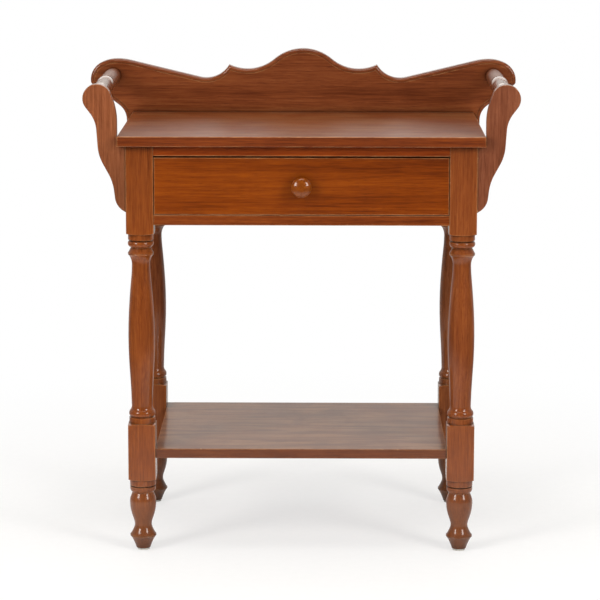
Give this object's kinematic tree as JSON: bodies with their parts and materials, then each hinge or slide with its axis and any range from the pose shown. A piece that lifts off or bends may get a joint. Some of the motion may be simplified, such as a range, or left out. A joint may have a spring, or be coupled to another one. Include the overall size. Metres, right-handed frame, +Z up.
{
  "type": "sewing table",
  "caption": "Wooden sewing table with a drawer, a low shelf, turned legs, a scalloped back board with wings and a towel bar held by a curved bracket at each side.",
  "frame": {"origin": "on the floor, under the middle of the bounding box", "axes": "+Z up; the drawer faces -Y and slides out along -Y; X runs along the front, +X to the right as seen from the front"},
  "size_m": [0.7942, 0.4384, 0.8605],
  "materials": {
    "stained_wood": "reddish-brown stain under a glossy clear varnish",
    "drawer_wood": "plain unfinished secondary wood",
    "screw_steel": "plain slotted screws",
    "glide_plastic": "pale grey nailed glides"
  },
  "bodies": {
    "frame": {"table_top": "stained_wood", "back_board": "stained_wood", "left_bracket": "stained_wood", "right_bracket": "stained_wood", "left_towel_bar": "stained_wood", "right_towel_bar": "stained_wood", "front_left_leg": "stained_wood", "front_right_leg": "stained_wood", "rear_left_leg": "stained_wood", "rear_right_leg": "stained_wood", "upper_front_rail": "stained_wood", "lower_front_rail": "stained_wood", "left_apron": "stained_wood", "right_apron": "stained_wood", "rear_apron": "stained_wood", "lower_shelf": "stained_wood", "left_runner": "drawer_wood", "right_runner": "drawer_wood", "left_guide": "drawer_wood", "right_guide": "drawer_wood", "left_kicker": "drawer_wood", "right_kicker": "drawer_wood", "drawer_stops": "drawer_wood", "bracket_dowels": "drawer_wood", "shelf_dowels": "drawer_wood", "top_screws": "screw_steel", "back_screws": "screw_steel", "foot_glides": "glide_plastic"},
    "drawer": {"drawer_front": "stained_wood", "drawer_left_side": "drawer_wood", "drawer_right_side": "drawer_wood", "drawer_back": "drawer_wood", "drawer_bottom": "drawer_wood", "drawer_knob": "stained_wood", "knob_screw": "screw_steel"}
  },
  "joints": [
    {"name": "drawer_slide", "type": "slide", "parent": "frame", "child": "drawer", "axis": [0, -1, 0], "range_m": [0, 0.27]}
  ]
}
